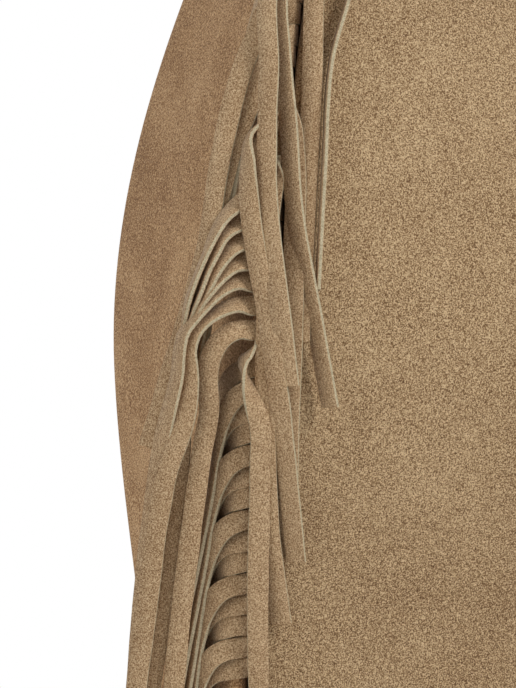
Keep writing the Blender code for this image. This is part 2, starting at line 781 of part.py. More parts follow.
def turn_at(points, turns, distance):
    """The turn this far along, between those of the points on either side."""
    for place in range(1, len(points)):
        span = (points[place] - points[place - 1]).length
        if distance <= span:
            return turns[place - 1] + (turns[place] - turns[place - 1]) * distance / span
        distance -= span
    return turns[-1]


def strand_section(index, path, turn, distance):
    """The two edges of a strand this far along it, the upper one at the seam first."""
    point, along = along_path(path, distance)
    twist, side = (FRONT_TWIST, 1) if index in FRONT_STRANDS else (SIDE_TWIST, -1)
    turned = ease((distance - TWIST_START) / twist)
    hanging = ACROSS * side * math.cos(turn) - OUT * math.sin(turn)
    across = Vector((0, 0, 1)) * (1 - turned) + hanging * turned
    across = (across - along * across.dot(along)).normalized()
    return point + across * STRAND_WIDTH / 2, point - across * STRAND_WIDTH / 2


def fringe_mesh():
    """The left fringe: the strip in the seam, and each strand pulled out from its edge."""
    inner = []
    outer = []
    for cut in range(STRAND_COUNT + 1):
        z = strand_height(cut - 0.5)
        outer.append(seam_point(z))
        inner.append(seam_point(z) - SEAM_OUT * allowance(z))
    bm = sheet_mesh([inner, outer])
    bm.verts.ensure_lookup_table()

    def vert_at(place):
        return min(bm.verts, key=lambda vert: (vert.co - place).length)

    roots = [vert_at(place) for place in outer]
    for index in range(STRAND_COUNT):
        upper, lower = roots[index], roots[index + 1]
        points, turns = strand_waypoints(index)
        path = smooth_path(points)
        length = path_length(path)
        for share in STRAND_STATIONS:
            edge = bm.edges.get((upper, lower))
            made = bmesh.ops.extrude_edge_only(bm, edges=[edge])["geom"]
            ends = [item for item in made if isinstance(item, bmesh.types.BMVert)]
            ends.sort(key=lambda vert: (vert.co - upper.co).length)
            upper, lower = ends
            turn = math.radians(turn_at(points, turns, share * length))
            upper.co, lower.co = strand_section(index, path, turn, share * length)
    return bm


def make_fringes(collection):
    for name, side in (("fringe_left", 1), ("fringe_right", -1)):
        bm = fringe_mesh()
        for vert in bm.verts:
            vert.co.x *= side
        material = make_material(name + "_suede", "a28560", 0.95)
        thicken(add_object(name, bm, material, collection), FRINGE_SUEDE)


def main():
    clear_scene()
    collection = bpy.data.collections.new("fringed_suede_bag")
    bpy.context.scene.collection.children.link(collection)
    make_panels(collection)
    make_gussets(collection)
    make_fringes(collection)
    make_base_panel(collection)
    make_base_board(collection)
    make_lining(collection)
    make_slip_pocket(collection)
    make_top_facing(collection)
    make_snap(collection)
    make_strap(collection)


main()
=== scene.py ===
"""The looks of the fringed suede shoulder bag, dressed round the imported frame. Metres, +Z up."""

import math
import random

import bmesh
import bpy
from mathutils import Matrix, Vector, noise


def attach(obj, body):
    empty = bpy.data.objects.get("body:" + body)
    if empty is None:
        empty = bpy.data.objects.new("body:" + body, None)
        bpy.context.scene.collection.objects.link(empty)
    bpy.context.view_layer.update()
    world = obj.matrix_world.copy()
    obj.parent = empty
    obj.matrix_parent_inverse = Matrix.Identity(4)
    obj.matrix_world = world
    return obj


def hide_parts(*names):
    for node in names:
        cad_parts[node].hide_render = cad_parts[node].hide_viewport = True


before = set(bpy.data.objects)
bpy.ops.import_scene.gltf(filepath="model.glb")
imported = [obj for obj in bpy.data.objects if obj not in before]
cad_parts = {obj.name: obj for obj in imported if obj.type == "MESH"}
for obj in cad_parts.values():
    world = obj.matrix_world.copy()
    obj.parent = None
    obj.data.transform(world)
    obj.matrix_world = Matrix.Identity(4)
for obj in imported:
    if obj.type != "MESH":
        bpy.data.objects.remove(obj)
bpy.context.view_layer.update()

MM = 0.001

# The body, as the frame has it
BODY_HEIGHT = 0.360
BASE_HALF_WIDTH = 0.158
BELLY_HALF_WIDTH = 0.1613
MOUTH_HALF_WIDTH = 0.117
TAPER_START = 0.190
BASE_DEPTH = 0.054
BELLY_DEPTH = 0.095
MOUTH_DEPTH = 0.048
SWELL_START = 0.080
BELLY_HEIGHT = 0.206
PANEL_BULGE = 10 * MM
MOUTH_BULGE = 4 * MM
BASE_BULGE = 0.0
GUSSET_BULGE = 1 * MM
SUEDE = 1.4 * MM
FRINGE_SUEDE = 1.1 * MM
LINING_CLOTH = 0.8 * MM
BOARD = 2.0 * MM
GAP = 0.3 * MM
SEAM_GAP = 0.4 * MM
FOLD_RADIUS = 1.5 * MM
SEAM_ALLOWANCE = 6 * MM
TRIMMED_ALLOWANCE = 1 * MM
ALLOWANCE_FROM = 0.020
TRIM_START = 0.070
TRIM_END = 0.055
ALLOWANCE_TO = BODY_HEIGHT - TRIM_START
TRIMMED_FROM = BODY_HEIGHT - TRIM_END
BASE_RIM = 0.010
BASE_CORNER = 0.013
FOOT_RADIUS = 2 * MM
PANEL_EDGE = 1.2 * MM
LINING_EASE = 2.1 * MM
LINING_CORNER = 0.019
FACING_DEPTH = 0.0383
LINING_TOP = BODY_HEIGHT - FACING_DEPTH
FACING_GAP = 0.5 * MM
FACING_CORNER = 0.013
FACING_DROP = 0.5 * MM
POCKET_HALF_WIDTH = 0.070
POCKET_BOTTOM = 0.140
POCKET_TOP = 0.250
POCKET_GAP = 0.5 * MM

# The strap
STRAP_WIDTH = 0.030
STRAP_LAP = 0.027
STRAP_RISE = 0.190
STRAP_BOTTOM = BODY_HEIGHT - STRAP_LAP
STRAP_TOP = BODY_HEIGHT + STRAP_RISE
STRAP_LEAN = 0.030
STRAP_SHOULDER = 0.110
STRAP_CROWN = 0.070

# The fringe
STRAND_COUNT = 39
STRAND_PITCH = 5.5 * MM
STRAND_WIDTH = 5.2 * MM
STRAND_LENGTH = 0.115
TOP_STRAND_DROP = 0.035
TOP_STRAND = BODY_HEIGHT - TOP_STRAND_DROP
EXIT_LENGTH = 4 * MM
LAST_TRIM = 2 * MM

# The eye: 27 degrees left of the front. "Across" is to its right and "out" is towards it
VIEW_TURN = math.radians(27)
VIEW_RISE = math.radians(1.5)
ACROSS = Vector((math.cos(VIEW_TURN), -math.sin(VIEW_TURN), 0))
OUT = Vector((-math.sin(VIEW_TURN), -math.cos(VIEW_TURN), 0))
SEAM_OUT = Vector((-1, -1, 0)).normalized()
UP = Vector((0, 0, 1))

# The picture: 688 pixels high at a quarter of a millimetre each
PICTURE_HEIGHT = 0.172
PICTURE_MIDDLE_ACROSS = -0.12475
PICTURE_MIDDLE_OUT = 0.107
PICTURE_MIDDLE_Z = 0.198
EYE_DISTANCE = 0.90
SENSOR = 36.0

# A strand's turn is how far round it is from square-on to the eye, in degrees.
# Strands that lie on the front panel: (drop, across, lift off the panel) in mm along each
FRONT_STRANDS = {
    0: [(8.5, 5.5, 4.8), (33.5, 12, 4.6), (56.5, 9.5, 4.6), (83.5, 10, 4.6), (113.5, 10, 4.6)],
    2: [(7.5, 0, 3), (30, 3.2, 3.1), (55, 5.5, 3.1), (77.5, 6, 3), (97, 6, 3), (115, 6, 3)],
    4: [
        (6.5, -8, 5.8), (19, -8.5, 7.4), (34, -6.2, 7.6), (51.5, -5, 7.6),
        (69, -3.7, 7.6), (91.5, 0.1, 7.4), (115, 4, 7),
    ],
    5: [
        (6, -5.5, 3.6), (13.5, -5.5, 4.4), (26, -3.2, 4.8), (46, 0.4, 4.9),
        (65, 3, 4.9), (91, 9, 4.9), (115, 14.5, 4.9),
    ],
    12: [
        (3, -0.5, 1.2), (6, 0.8, 2), (12.5, 2.2, 2.6), (35, 3.6, 3), (57.5, 4.2, 3.2),
        (80, 4.5, 3.2), (100, 6, 3), (115, 9, 3),
    ],
    13: [
        (0.3, -4.6, 3.4), (1.6, -7.6, 4.6), (4, -9.3, 5.4), (10.5, -9.1, 6.6), (22.3, -7.8, 7),
        (34.5, -5.3, 6), (48.5, -2.2, 4.9), (65, 1, 4.8), (79.5, 3.6, 4.8), (110, 9.5, 4.8),
    ],
    15: [
        (12.2, -3, 3.2), (33.5, -2.5, 3.2), (53.5, -2, 2.4), (71, -0.8, 2.3), (91, 2, 2.3),
        (115, 7.4, 2.3),
    ],
    23: [
        (1, -4.6, 0.4), (4, -7.4, 2.6), (10.8, -6.2, 4.4), (19.5, -2.9, 4.2),
        (32, -1.8, 3.8), (64.5, 0.8, 3.4), (89.5, 3, 3.2), (115, 4.8, 3.2),
    ],
}
FRONT_TURN = {0: 95, 2: -10, 4: -25, 5: -42, 12: -15, 13: -25, 15: -10, 23: -172}

# Two of them start at another turn, and reach their own by this drop in mm
TURNED_FROM = {13: -88, 23: -45}
TURNED_BY = 20

# How far from the seam a strand starts to twist, and the length that its twist takes
TWIST_START = 3 * MM
FRONT_TWIST = 11 * MM
SIDE_TWIST = 21 * MM

# Strands that swing out over the gusset, nearest the eye: (drop, across, out) in mm and turn
SIDE_STRANDS = {
    7: [
        (4.3, -8.3, 6.5, 10), (10.8, -10, 7.5, 10), (19, -12.3, 7.8, 10), (27.2, -13.9, 7.4, 12),
        (45.7, -16.3, 6.4, 18), (62.3, -17.8, 6, 22), (80.2, -21.6, 5.8, 22), (101.5, -27, 5.8, 18),
        (114, -29.9, 5.8, 15),
    ],
    9: [
        (4, -5.5, 4.8, 10), (10.2, -8.1, 5.6, 12), (19, -10.2, 5.5, 14), (26.8, -12.6, 5, 16),
        (37.8, -14.8, 4.3, 18), (51.3, -17.2, 4, 22), (69, -21.1, 3.8, 22), (90.5, -25, 3.8, 18),
        (109, -26.8, 3.8, 16),
    ],
    19: [
        (1.8, -7.9, 7.2, 45), (2.8, -11, 8.6, 50), (6, -14.2, 9.6, 58), (9.3, -16.7, 9.8, 66),
        (12.8, -19, 9.4, 72), (16.5, -20.6, 8.2, 68), (20.3, -21.7, 6.6, 60), (26.5, -22.4, 4.8, 48),
        (49, -22, 5.2, 14), (73, -21.9, 5.2, 12), (100.8, -23.8, 5.2, 12), (115, -25.2, 5.2, 12),
    ],
    20: [
        (1.5, -6.1, 6, 45), (1.5, -10.6, 8.6, 45), (4.3, -14.9, 9.9, 50), (7.8, -18.1, 10.4, 56),
        (11, -20.7, 10.6, 60), (14, -22.7, 10.6, 62), (17.5, -23.4, 10.4, 62), (24.3, -23.8, 10, 58),
        (31, -25, 9.4, 54), (38.5, -26.4, 8.4, 46), (46.3, -27.1, 7.2, 40), (58.5, -27.7, 6.2, 36),
        (83.8, -28.2, 6, 34), (115, -28.6, 6, 30),
    ],
    21: [
        (1.8, -5.7, 6, 40), (1.5, -10.2, 8.6, 42), (3.5, -14.5, 9.8, 46), (6, -17.9, 10.2, 50),
        (8.5, -20, 10.4, 50), (12, -21.2, 10.4, 44), (18.8, -20.7, 10.4, 34), (25.5, -20.8, 10.4, 24),
        (34.8, -22.5, 10.4, 16), (40.8, -24.3, 10.4, 12), (53, -25.8, 10.2, 10), (78.3, -26.7, 10, 10),
        (97.5, -27.8, 10, 12), (115, -28.6, 10, 14),
    ],
    22: [
        (2.3, -4.5, 5.5, 10), (2.3, -9.8, 8, 12), (4.3, -13.1, 8.8, 14), (7.5, -15.2, 8.6, 14),
        (11, -16.2, 8, 12), (15.5, -16.3, 7.6, 8), (20, -15.6, 7.2, 4), (33.8, -16.7, 7, 0),
        (52.3, -17.5, 7, 0), (79.8, -18.3, 7, 0), (115, -19.4, 7, 0),
    ],
}

# Strands that fan out, turn edge-on and gather: (drop, across, out) in mm, then how far across of
# the gathering line they hang
FAN_STRANDS = {
    16: (
        [
            (1.6, -6, 5.8), (3.9, -10.2, 8), (5.8, -12.5, 9.2), (8.3, -14.6, 10), (11.5, -16.2, 10.4),
            (16.8, -18.2, 10.4), (22.8, -20.4, 9.8), (28.5, -22.1, 8.4), (33.3, -23, 6.6),
        ],
        -0.2,
    ),
    17: (
        [
            (1.2, -5.2, 5.6), (3.3, -9.5, 8), (4.8, -12.2, 9.2), (6.9, -14.3, 10), (11, -16, 10.4),
            (15.3, -17.6, 10.2), (20.8, -19.3, 9.2), (25.3, -20.9, 7.6),
        ],
        1,
    ),
    18: (
        [
            (0.9, -4.8, 5.4), (2.5, -9.2, 8), (3.8, -11.3, 9), (6.8, -13.8, 10), (10.3, -15.7, 10.2),
            (15.3, -17.6, 9.2), (19.3, -19.2, 8), (22.3, -20.2, 6.8),
        ],
        2.2,
    ),
}
FAN_TURN = (42, 80)
FAN_TURN_DROP = 20
GATHERED_OUT = -0.8

# The line on which those gather: (height, across) in mm
GATHERING = [(214, -20.4), (204, -22.4), (190, -24), (179, -24.7), (166, -25.2), (120, -26.4)]
GATHERING_STEP = 0.014

# The other strands hang in three rows: (drop, across, out) in mm and turn. The top ones keep closer
# to the gusset and fall further aside, behind the strands that swing out
ROWS = (
    [
        (0.4, -3.4, 4.4, 25), (1, -6.3, 4.8, 25), (2.7, -9.1, 4.4, 30), (5.9, -11.2, 3.2, 38),
        (9.5, -12.4, 1.8, 48), (14, -12.9, 0.9, 60), (20, -13.2, 0.6, 72),
    ],
    [
        (0.6, -4.5, 3.8, 35), (1.5, -8.2, 1.8, 38), (4, -11, -1.2, 48), (7.3, -12.3, -3.6, 62),
        (11, -12.8, -5.2, 74),
    ],
    [
        (0.3, -4.6, 4.4, 56), (1.3, -7.4, 2.6, 60), (3, -10.2, -2.8, 62), (5.5, -11.6, -7.6, 62),
        (8.5, -12.3, -11, 63), (12, -12.8, -11.5, 63),
    ],
)
ROW_STRAND = 28
ROW_FALL = 0.1
TOP_ROWS_END = 15
TOP_REACH = 0.62
TOP_FALL = 0.136

# How the soft walls slump, in metres
WALL_EDGE = 0.035
WALL_FOOT = 0.05
SNAP_HOLD = 0.030
SNAP_HOLD_FROM = 0.30
SNAP_HOLD_OVER = 0.03
FRINGE_HOLD = 0.25
FRINGE_HOLD_WIDTH = 0.050
FRINGE_HOLD_OVER = 0.04
HOLLOW_ACROSS = 0.085
HOLLOW_UP = 0.11
HOLLOW_DEPTH = 2.6 * MM
DRAPE_SLOPE = 0.35
DRAPE_WAVE = 0.016
DRAPE_MIDDLE = 0.02
DRAPE_REACH = 0.05
DRAPE_DEPTH = 1.1 * MM
DRAPE_FROM = 0.20
DRAPE_OVER = 0.12
SAG_HEIGHT = 0.075
SAG_SLOPE = 0.12
SAG_WIDTH = 0.022
SAG_DEPTH = 1.2 * MM
SAG_END = 0.13
SAG_OVER = 0.09
GUSSET_HOLLOW_ACROSS = 0.04
GUSSET_HOLLOW_UP = 0.08
GUSSET_HOLLOW_DEPTH = 0.8 * MM
STRAP_HOLD_OVER = 0.02

# How finely each piece is divided
BODY_ROWS = 90
PANEL_ACROSS = 96
GUSSET_ACROSS = 30
FOLD_STEPS = 6
CORNER_STEPS = 8
SIDE_STEPS = 24
LINING_ROWS = 60
POCKET_ROWS = 24
POCKET_ACROSS = 32
FACING_ROWS = 12
STRAP_LAP_ROWS = 8
STRAP_STEPS = 48
STRAP_ACROSS = 8
CURVE_STEPS = 16
STRAND_RINGS = 56

# A strand's section: it narrows from the uncut strip, and its edges and width waver a little
EVEN_RINGS = 0.45
NARROWED_BY = 6 * MM
EDGE_ROUND = 0.14 * MM
EDGE_FLAT = 0.7
WAVER_LENGTH = 0.009
WAVER = 0.16 * MM
WAVER_STEP = 3.7
CUP = 0.25 * MM
CUP_WAVES = 5
CUP_STEP = 1.9
FACE, CUT = 0, 1
RING_FINISH = (FACE, FACE, FACE, FACE, CUT, FACE, FACE, FACE, FACE, CUT)

# The nap: patches left by brushing, wide drifts of tone, and single fibres within a clump
NAP_PATCH = 14 * MM
NAP_DRIFT = 75 * MM
FIBRES_ACROSS_CLUMP = 2.7

# The stage
FLOOR_RADIUS = 0.95
FADE_FROM = 0.35
FADE_TO = 0.85
WORLD_LIGHT = 0.42


# Shape of the body

def ease(value):
    """A half cosine from 0 to 1."""
    return (1 - math.cos(math.pi * min(max(value, 0), 1))) / 2


def half_width(z):
    if z < TAPER_START:
        return BASE_HALF_WIDTH + (BELLY_HALF_WIDTH - BASE_HALF_WIDTH) * ease(z / TAPER_START)
    rise = (z - TAPER_START) / (BODY_HEIGHT - TAPER_START)
    return BELLY_HALF_WIDTH - (BELLY_HALF_WIDTH - MOUTH_HALF_WIDTH) * rise**2


def towards_belly(z):
    return ease((z - SWELL_START) / (BELLY_HEIGHT - SWELL_START))


def towards_mouth(z):
    return ease((z - BELLY_HEIGHT) / (BODY_HEIGHT - BELLY_HEIGHT))


def half_depth(z):
    if z < BELLY_HEIGHT:
        return (BASE_DEPTH + (BELLY_DEPTH - BASE_DEPTH) * towards_belly(z)) / 2
    return (BELLY_DEPTH - (BELLY_DEPTH - MOUTH_DEPTH) * towards_mouth(z)) / 2


def panel_bulge(z):
    low = BASE_BULGE + (PANEL_BULGE - BASE_BULGE) * ease(z / SWELL_START)
    return low + (MOUTH_BULGE - PANEL_BULGE) * towards_mouth(z)


def gusset_bulge(z):
    return GUSSET_BULGE * towards_belly(z) * (1 - towards_mouth(z))


def allowance(z):
    full = SEAM_ALLOWANCE - TRIMMED_ALLOWANCE
    low = (z - BASE_RIM) / (ALLOWANCE_FROM - BASE_RIM)
    high = (TRIMMED_FROM - z) / (TRIMMED_FROM - ALLOWANCE_TO)
    return TRIMMED_ALLOWANCE + full * min(max(min(low, high), 0), 1)


def flange_offset(front):
    if front:
        return FRINGE_SUEDE / 2 + SEAM_GAP + SUEDE / 2
    return (SEAM_GAP + SUEDE) / 2


def seam_inset(front):
    return (flange_offset(front) + FOLD_RADIUS) / math.sqrt(2) + FOLD_RADIUS


def fold_reach(front):
    return seam_inset(front) + (flange_offset(front) + FOLD_RADIUS) / math.sqrt(2)


def swelling(value, limit):
    return max(0, 1 - (value / limit) ** 2)


def slump(x, z, back):
    """How far the soft wall stands out of its plain curve: shallow hollows and folds, which fade out
    towards the seams, the base, the snap and the fringe."""
    side = 1 if back else -1
    seed = Vector((3.1 * side, 7.7, 2.3))
    across = min(1, max(0, (half_width(z) - abs(x)) / WALL_EDGE))
    rise = ease(z / WALL_FOOT)
    snap = 1 - math.exp(-((x / SNAP_HOLD) ** 2)) * ease((z - SNAP_HOLD_FROM) / SNAP_HOLD_OVER)
    from_fringe = ease((half_width(z) - FRINGE_HOLD_WIDTH - abs(x)) / FRINGE_HOLD_OVER)
    by_fringe = 1 if back else FRINGE_HOLD + (1 - FRINGE_HOLD) * from_fringe
    broad = noise.noise(Vector((x / HOLLOW_ACROSS, z / HOLLOW_UP, 0)) + seed) * HOLLOW_DEPTH
    pull = abs(x) - DRAPE_SLOPE * (BODY_HEIGHT - z)
    drape = math.cos(pull / DRAPE_WAVE) * math.exp(-((pull - DRAPE_MIDDLE) / DRAPE_REACH) ** 2)
    drape *= DRAPE_DEPTH * ease((z - DRAPE_FROM) / DRAPE_OVER)
    from_sag = (z - SAG_HEIGHT - SAG_SLOPE * x * side) / SAG_WIDTH
    sag = -math.exp(-(from_sag**2)) * SAG_DEPTH * ease((SAG_END - abs(x)) / SAG_OVER)
    return (broad + drape + sag) * ease(across) * rise * snap * by_fringe


# Meshes

def grid(sections, closed=False, floor=False):
    """A bmesh surface through rows of points. A closed one joins its ends, and floor fills row 0."""
    rows = len(sections)
    if closed:
        sections = [section + section[:1] for section in sections]
    columns = len(sections[0])
    bm = bmesh.new()
    bmesh.ops.create_grid(bm, x_segments=columns - 1, y_segments=rows - 1, size=1)
    bottom = set()
    for vert in bm.verts:
        column = round((vert.co.x + 1) / 2 * (columns - 1))
        row = round((vert.co.y + 1) / 2 * (rows - 1))
        vert.co = sections[row][column]
        if row == 0:
            bottom.add(vert)
    loop = [edge for edge in bm.edges if set(edge.verts) <= bottom] if floor else []
    if closed:
        bmesh.ops.remove_doubles(bm, verts=bm.verts, dist=1e-6)
    if floor:
        bmesh.ops.contextual_create(bm, geom=[edge for edge in loop if edge.is_valid])
    return bm


def add_piece(name, bm, materials, smooth_angle=40):
    bmesh.ops.recalc_face_normals(bm, faces=bm.faces)
    mesh = bpy.data.meshes.new(name)
    bm.to_mesh(mesh)
    bm.free()
    for material in materials:
        mesh.materials.append(material)
    mesh.shade_smooth()
    mesh.set_sharp_from_angle(angle=math.radians(smooth_angle))
    obj = bpy.data.objects.new(name, mesh)
    bpy.context.scene.collection.objects.link(obj)
    return obj


def thicken(obj, thickness, edge_material=0):
    solidify = obj.modifiers.new("thickness", "SOLIDIFY")
    solidify.thickness = thickness
    solidify.offset = 0
    solidify.use_even_offset = True
    solidify.material_offset_rim = edge_material
    return obj


def dress(obj, nodes):
    """The piece rides with the bag and stands for those frame nodes."""
    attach(obj, "root")
    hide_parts(*nodes)
    return obj


# Materials

def linear(colour):
    """An sRGB hex colour as linear values."""
    values = []
    for place in (0, 2, 4):
        value = int(colour[place : place + 2], 16) / 255
        values.append(value / 12.92 if value <= 0.04045 else ((value + 0.055) / 1.055) ** 2.4)
    return values + [1]


def new_material(name):
    material = bpy.data.materials.new(name)
    material.use_nodes = True
    shader = material.node_tree.nodes["Principled BSDF"]
    return material, shader


def node(material, kind, inputs=None, **fields):
    """Adds a node to a material or the world. Fields are its own options. Inputs maps a socket to
    a value, or to the output that feeds it."""
    made = material.node_tree.nodes.new(kind)
    for name, value in fields.items():
        setattr(made, name, value)
    for socket, value in (inputs or {}).items():
        if isinstance(value, bpy.types.NodeSocket):
            material.node_tree.links.new(value, made.inputs[socket])
        else:
            made.inputs[socket].default_value = value
    return made


def noise_at(material, place, size, detail=2.0, roughness=0.5):
    """Noise with lumps of that size in metres, centred on 0."""
    made = node(
        material, "ShaderNodeTexNoise",
        {"Vector": place, "Scale": 1 / size, "Detail": detail, "Roughness": roughness},
    )
    return calculate(material, "SUBTRACT", made.outputs["Fac"], 0.5)


def calculate(material, operation, *values):
    made = node(material, "ShaderNodeMath", dict(enumerate(values)), operation=operation)
    return made.outputs[0]


def ramp(material, source, stops):
    made = node(material, "ShaderNodeValToRGB", {"Fac": source})
    elements = made.color_ramp.elements
    while len(elements) < len(stops):
        elements.new(0.5)
    for element, (position, colour) in zip(elements, stops):
        element.position = position
        element.color = linear(colour)
    return made.outputs["Color"]


def finish_surface(material, shader, colour, height, relief, strength, roughness, specular):
    bump = node(material, "ShaderNodeBump", {"Strength": strength, "Distance": relief, "Height": height})
    material.node_tree.links.new(colour, shader.inputs["Base Color"])
    material.node_tree.links.new(bump.outputs["Normal"], shader.inputs["Normal"])
    shader.inputs["Roughness"].default_value = roughness
    shader.inputs["Specular IOR Level"].default_value = specular
    return material


def suede(name, dark, middle, light, clump, contrast, brushed, relief):
    """Split cowhide, chrome-tanned and buffed. The short nap lies in clumps under a millimetre
    across that catch the light differently, so it reads as a dense matt speckle over softer
    brushed patches. Clump and relief are in metres."""
    material, shader = new_material(name)
    place = node(material, "ShaderNodeTexCoord").outputs["Object"]
    nap = noise_at(material, place, clump, 3.0, 0.62)
    fibre = noise_at(material, place, clump / FIBRES_ACROSS_CLUMP, 2.0, 0.6)
    patch = noise_at(material, place, NAP_PATCH, 3.0)
    drift = noise_at(material, place, NAP_DRIFT, 1.0)
    pile = calculate(material, "MULTIPLY_ADD", fibre, 0.45, nap)
    speckle = calculate(material, "MULTIPLY_ADD", pile, contrast, 0.5)
    brushing = calculate(material, "MULTIPLY", calculate(material, "ADD", patch, drift), brushed)
    level = calculate(material, "ADD", speckle, brushing)
    colour = ramp(material, level, [(0.0, dark), (0.5, middle), (1.0, light)])
    shader.inputs["Sheen Weight"].default_value = 0.12
    shader.inputs["Sheen Roughness"].default_value = 0.6
    return finish_surface(material, shader, colour, pile, relief, 0.8, 0.95, 0.15)


def cut_edge(name, dark, light, fibre_size):
    """The raw edge of knife-cut suede: torn fibres, paler than the nap, over the grey of the
    split's core."""
    material, shader = new_material(name)
    place = node(material, "ShaderNodeTexCoord").outputs["Object"]
    fibre = noise_at(material, place, fibre_size, 3.0)
    colour = ramp(material, calculate(material, "ADD", fibre, 0.5), [(0.3, dark), (0.7, light)])
    return finish_surface(material, shader, colour, fibre, 0.15 * MM, 0.6, 0.9, 0.2)


def twill(name, dark, light, thread):
    """Cotton twill, woven of dyed yarn: fine diagonal ribs."""
    material, shader = new_material(name)
    place = node(material, "ShaderNodeTexCoord").outputs["Object"]
    slant = (0.0, math.radians(35), 0.0)
    turned = node(material, "ShaderNodeMapping", {"Vector": place, "Rotation": slant})
    rib = node(
        material, "ShaderNodeTexWave",
        {"Vector": turned.outputs[0], "Scale": 0.32 / thread, "Distortion": 1.2, "Detail": 2.0},
    )
    soft = noise_at(material, place, 6 * thread)
    level = calculate(material, "MULTIPLY_ADD", soft, 0.5, rib.outputs["Fac"])
    colour = ramp(material, level, [(0.1, dark), (0.9, light)])
    return finish_surface(material, shader, colour, level, 0.2 * MM, 0.5, 0.9, 0.2)


def nickel_plate(name, colour):
    """Stamped steel plated with nickel and lightly brushed: a soft mirror."""
    material, shader = new_material(name)
    place = node(material, "ShaderNodeTexCoord").outputs["Object"]
    wear = noise_at(material, place, 1.1 * MM, 3.0)
    rough = calculate(material, "MULTIPLY_ADD", wear, 0.2, 0.3)
    material.node_tree.links.new(rough, shader.inputs["Roughness"])
    shader.inputs["Base Color"].default_value = linear(colour)
    shader.inputs["Metallic"].default_value = 1.0
    return material


# Body pieces

def heights(bottom, top, rows):
    return [bottom + (top - bottom) * row / (rows - 1) for row in range(rows)]


def fold_section(z, front):
    offset = flange_offset(front)
    inset = seam_inset(front)
    root = Vector((-inset - offset / math.sqrt(2), -inset + offset / math.sqrt(2)))
    centre = Vector((-fold_reach(front), -FOLD_RADIUS))
    points = [root - Vector((1, 1)).normalized() * allowance(z)]
    for step in range(FOLD_STEPS + 1):
        angle = math.radians(-45 + 135 * step / FOLD_STEPS)
        points.append(centre + FOLD_RADIUS * Vector((math.cos(angle), math.sin(angle))))
    return points


def panel_section(z, front):
    corner = Vector((half_width(z), half_depth(z)))
    fold = [corner + point for point in fold_section(z, front)]
    flat = fold[-1].x
    points = [Vector((-point.x, point.y)) for point in fold[:-1]]
    for column in range(PANEL_ACROSS + 1):
        x = flat * (2 * column / PANEL_ACROSS - 1)
        rise = panel_bulge(z) * swelling(x, flat) + slump(x, z, not front)
        points.append(Vector((x, corner.y + rise)))
    points += fold[-2::-1]
    side = -1 if front else 1
    return [Vector((point.x, point.y * side, z)) for point in points]


def gusset_section(z, side):
    corner = Vector((half_width(z), half_depth(z)))
    ends = []
    for front in (True, False):
        fold = [corner + Vector((point.y, point.x)) for point in fold_section(z, front)]
        facing = -1 if front else 1
        ends.append([Vector((point.x, point.y * facing)) for point in fold])
    first = ends[0][-1].y
    last = ends[1][-1].y
    points = ends[0][:-1]
    for column in range(GUSSET_ACROSS + 1):
        along = column / GUSSET_ACROSS
        y = first + (last - first) * along
        slack = swelling(2 * along - 1, 1)
        place = Vector((y / GUSSET_HOLLOW_ACROSS, z / GUSSET_HOLLOW_UP, 5.0 * side))
        soft = noise.noise(place) * GUSSET_HOLLOW_DEPTH * slack
        soft *= ease((STRAP_BOTTOM - z) / STRAP_HOLD_OVER)
        points.append(Vector((corner.x + gusset_bulge(z) * slack + soft, y)))
    points += ends[1][-2::-1]
    return [Vector((point.x * side, point.y, z)) for point in points]


def ring_section(z, inset, corner, at=None):
    width = half_width(z) - inset
    depth = half_depth(z) - inset
    radius = min(corner, depth - GAP)
    flat_x = half_width(z) - fold_reach(True)
    flat_y = half_depth(z) - fold_reach(True)
    centre = Vector((width - radius, depth - radius))
    quarter = []
    for step in range(CORNER_STEPS + 1):
        angle = math.pi / 2 * step / CORNER_STEPS
        quarter.append(centre + radius * Vector((math.cos(angle), math.sin(angle))))
    start = quarter[-1].x
    quarter += [Vector((start * (1 - step / SIDE_STEPS), depth)) for step in range(1, SIDE_STEPS)]
    loop = [Vector((width, 0))]
    loop += quarter + [Vector((0, depth))]
    loop += [Vector((-point.x, point.y)) for point in reversed(quarter)]
    loop += [Vector((-point.x, -point.y)) for point in loop]
    points = []
    for point in loop:
        back = point.y > 0
        out = 1 + panel_bulge(z) / depth * swelling(point.x, flat_x)
        wide = 1 + gusset_bulge(z) / width * swelling(point.y, flat_y)
        lean = abs(point.y) / depth
        soft = slump(point.x, z, back) * lean * (1 if back else -1)
        points.append(Vector((point.x * wide, point.y * out + soft, z if at is None else at)))
    return points


def make_body(materials):
    levels = heights(PANEL_EDGE, BODY_HEIGHT, BODY_ROWS)
    for name, front in (("front_panel", True), ("back_panel", False)):
        bm = grid([panel_section(z, front) for z in levels])
        obj = add_piece(name + "_suede", bm, [materials["panel"], materials["edge"]])
        dress(thicken(obj, SUEDE, 1), [name])
    for name, side in (("gusset_left", -1), ("gusset_right", 1)):
        bm = grid([gusset_section(z, side) for z in levels])
        obj = add_piece(name + "_suede", bm, [materials["gusset"], materials["edge"]])
        dress(thicken(obj, SUEDE, 1), [name])


def make_base(materials):
    inset = SUEDE + GAP
    sections = []
    for step in range(FOLD_STEPS + 1):
        angle = math.pi / 2 * step / FOLD_STEPS
        extra = FOOT_RADIUS * (1 - math.sin(angle))
        height = SUEDE / 2 + FOOT_RADIUS * (1 - math.cos(angle))
        sections.append(ring_section(PANEL_EDGE, inset + extra, BASE_CORNER - extra, height))
    sections.append(ring_section(BASE_RIM, inset, BASE_CORNER))
    bm = grid(sections, closed=True, floor=True)
    obj = add_piece("base_suede", bm, [materials["gusset"], materials["edge"]])
    dress(thicken(obj, SUEDE, 1), ["base_panel"])


def lining_inset(z):
    loose = SUEDE / 2 + LINING_EASE + LINING_CLOTH / 2
    near = ease((z - ALLOWANCE_TO) / (LINING_TOP - ALLOWANCE_TO))
    return loose + (SUEDE + GAP - loose) * near


